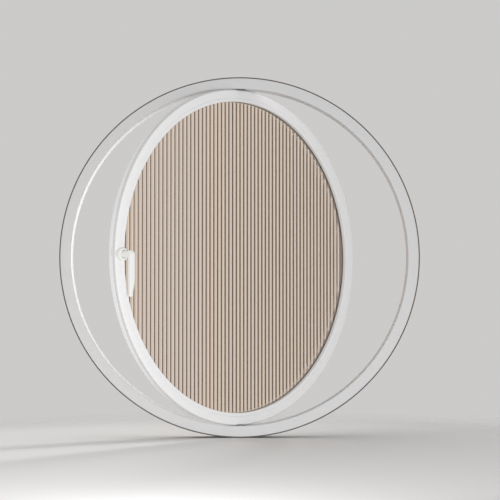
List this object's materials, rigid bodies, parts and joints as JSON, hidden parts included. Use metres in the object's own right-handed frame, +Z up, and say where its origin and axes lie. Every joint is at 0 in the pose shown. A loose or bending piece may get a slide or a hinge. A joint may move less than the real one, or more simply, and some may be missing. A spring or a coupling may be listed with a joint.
{
  "type": "round pivot window",
  "caption": "Round window with a ring frame and a round sash of reeded glass that turns about an upright centre axis, held by a lever handle with a cam tongue.",
  "frame": {"origin": "centre of the round frame, halfway through its depth, on the sash's pivot axis", "axes": "+Z up along the pivot axis, -Y out of the handle side, +X to the right seen from the handle side"},
  "size_m": [0.8999, 0.6286, 0.9],
  "materials": {
    "frame_paint": "white powder coat, satin",
    "sash_paint": "white powder coat, satin",
    "keeper_paint": "white paint, satin",
    "handle_paint": "white enamel, semi-gloss",
    "aluminium": "mill finish",
    "steel": "stainless, turned",
    "foam_rubber": "matte",
    "grey_rubber": "matte",
    "nylon": "moulded",
    "brush_pile": "short woven pile",
    "reeded_glass": "clear, reeded on the handle side"
  },
  "bodies": {
    "frame": {"frame_ring": "frame_paint", "wall_seal": "foam_rubber", "upper_pivot_housing": "steel", "lower_pivot_housing": "steel", "upper_pivot_bush": "nylon", "lower_pivot_bush": "nylon", "friction_washer": "steel", "thrust_washer": "steel", "pivot_screws": "steel", "cam_keeper": "keeper_paint", "keeper_screws": "steel"},
    "sash": {"sash_ring": "sash_paint", "glazing_bead": "sash_paint", "reeded_glass": "reeded_glass", "front_glazing_gasket": "grey_rubber", "rear_glazing_gasket": "grey_rubber", "setting_blocks": "nylon", "sash_brush_seal": "brush_pile", "upper_pivot_block": "aluminium", "lower_pivot_block": "aluminium", "upper_pivot_pin": "steel", "lower_pivot_pin": "steel", "stop_peg": "steel", "rosette_base": "nylon", "rosette_cover": "handle_paint", "rosette_screws": "steel", "spindle_bush": "nylon"},
    "handle": {"handle_lever": "handle_paint", "handle_spindle": "steel", "handle_grub_screw": "steel", "cam_tongue": "steel"}
  },
  "joints": [
    {"name": "sash_pivot", "type": "hinge", "parent": "frame", "child": "sash", "pos_m": [0, 0, 0], "axis": [0, 0, 1], "range_deg": [-44.5, 115.5]},
    {"name": "handle_turn", "type": "hinge", "parent": "sash", "child": "handle", "pos_m": [-0.2878, -0.28282, 0], "axis": [0.7009, -0.7133, 0], "range_deg": [0, 90]}
  ]
}
